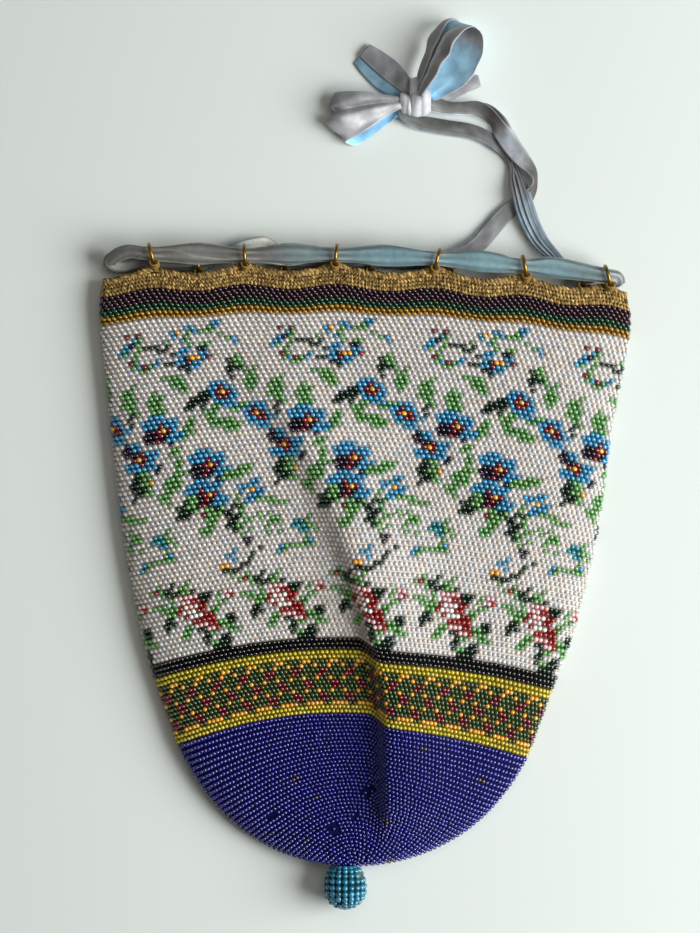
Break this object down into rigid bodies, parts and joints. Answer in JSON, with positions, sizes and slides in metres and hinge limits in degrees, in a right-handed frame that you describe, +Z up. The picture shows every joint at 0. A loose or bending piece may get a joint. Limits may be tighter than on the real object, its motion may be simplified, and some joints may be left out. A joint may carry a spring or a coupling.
{
  "type": "reticule",
  "caption": "Bead-knitted drawstring reticule lying flat: hollow beaded pouch, silk heading with brass rings, shot-silk ribbon tied in a bow, beaded ball.",
  "frame": {"origin": "middle of the box that holds the bag, its rings and its ball, on the surface it lies on", "axes": "+X across the bag to the right as pictured, +Y from the ball up to the rings, +Z up off the surface"},
  "size_m": [0.1606, 0.2665, 0.0184],
  "materials": {
    "beaded_knit": "silk knitted with small glossy glass beads",
    "tan_silk": "knitted silk, soft sheen",
    "aged_brass": "aged, dull",
    "turquoise_beads": "glossy glass beads over a core",
    "shot_silk": "shot silk ribbon, grey-lilac and light blue"
  },
  "bodies": {
    "root": {"pouch": "beaded_knit", "heading": "tan_silk", "ring_front_1": "aged_brass", "ring_front_2": "aged_brass", "ring_front_3": "aged_brass", "ring_front_4": "aged_brass", "ring_front_5": "aged_brass", "ring_front_6": "aged_brass", "ring_back_1": "aged_brass", "ring_back_2": "aged_brass", "ring_back_3": "aged_brass", "ring_back_4": "aged_brass", "ring_back_5": "aged_brass", "bead_ball": "turquoise_beads", "ribbon_drawn": "shot_silk", "ribbon_strand_left": "shot_silk", "ribbon_strand_right": "shot_silk", "bow_knot": "shot_silk", "bow_loop_left": "shot_silk", "bow_loop_right": "shot_silk", "bow_tail_long": "shot_silk", "bow_tail_short": "shot_silk"}
  },
  "joints": []
}
